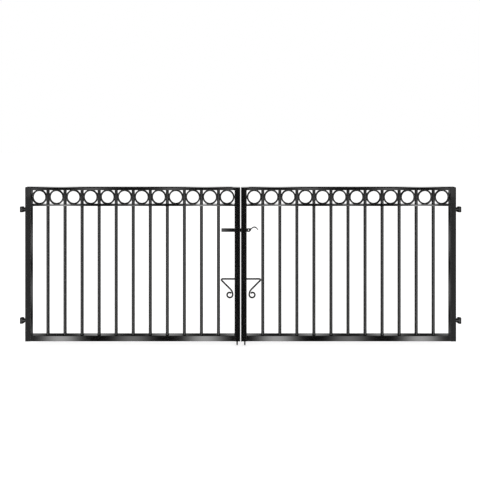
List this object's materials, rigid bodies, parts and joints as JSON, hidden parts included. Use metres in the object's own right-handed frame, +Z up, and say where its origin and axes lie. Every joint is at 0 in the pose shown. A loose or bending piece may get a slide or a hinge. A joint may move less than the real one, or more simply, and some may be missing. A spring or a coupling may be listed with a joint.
{
  "type": "iron driveway gate",
  "caption": "Double-leaf iron driveway gate of box section with round upright bars under a band of rings, on hinge pins, with scrolled drop bolts and a gravity latch.",
  "frame": {"origin": "middle of the end face of the lower left hinge pin's shank, where it meets the post", "axes": "+X along the shut gate from the left leaf to the right, +Y from the road side to the latch side and into the post, +Z up"},
  "size_m": [3.0908, 0.065, 1.122],
  "materials": {
    "frame_paint": "gloss black paint",
    "infill_paint": "gloss black paint",
    "fitting_paint": "black paint, a little worn",
    "bare_steel": "greased steel"
  },
  "bodies": {
    "hinge_pins": {"left_lower_pin": "bare_steel", "left_upper_pin": "bare_steel", "right_lower_pin": "bare_steel", "right_upper_pin": "bare_steel"},
    "left_leaf": {"left_hanging_stile": "frame_paint", "left_meeting_stile": "frame_paint", "left_stile_caps": "frame_paint", "left_bottom_rail": "frame_paint", "left_ring_rail": "frame_paint", "left_top_rail": "frame_paint", "left_bars": "infill_paint", "left_rings": "infill_paint", "left_lower_eye": "fitting_paint", "left_upper_eye": "fitting_paint", "left_bolt_guides": "fitting_paint", "latch_keep": "fitting_paint"},
    "right_leaf": {"right_hanging_stile": "frame_paint", "right_meeting_stile": "frame_paint", "right_stile_caps": "frame_paint", "right_bottom_rail": "frame_paint", "right_ring_rail": "frame_paint", "right_top_rail": "frame_paint", "right_bars": "infill_paint", "right_rings": "infill_paint", "right_lower_eye": "fitting_paint", "right_upper_eye": "fitting_paint", "right_bolt_guides": "fitting_paint", "latch_pivot": "fitting_paint"},
    "latch": {"latch_arm": "fitting_paint", "latch_tail": "fitting_paint"},
    "left_bolt": {"left_drop_bolt": "fitting_paint", "left_bolt_collar": "fitting_paint"},
    "right_bolt": {"right_drop_bolt": "fitting_paint", "right_bolt_collar": "fitting_paint"}
  },
  "joints": [
    {"name": "left_leaf_swing", "type": "hinge", "parent": "hinge_pins", "child": "left_leaf", "pos_m": [0, -0.045, 0.004], "axis": [0, 0, -1], "range_deg": [0, 90]},
    {"name": "right_leaf_swing", "type": "hinge", "parent": "hinge_pins", "child": "right_leaf", "pos_m": [3.0628, -0.045, 0.004], "axis": [0, 0, 1], "range_deg": [0, 90]},
    {"name": "latch_lift", "type": "hinge", "parent": "right_leaf", "child": "latch", "pos_m": [1.5539, -0.017, 0.64015], "axis": [0, 1, 0], "range_deg": [0, 75]},
    {"name": "left_bolt_lift", "type": "slide", "parent": "left_leaf", "child": "left_bolt", "axis": [0, 0, 1], "range_m": [0, 0.06]},
    {"name": "right_bolt_lift", "type": "slide", "parent": "right_leaf", "child": "right_bolt", "axis": [0, 0, 1], "range_m": [0, 0.06]}
  ]
}
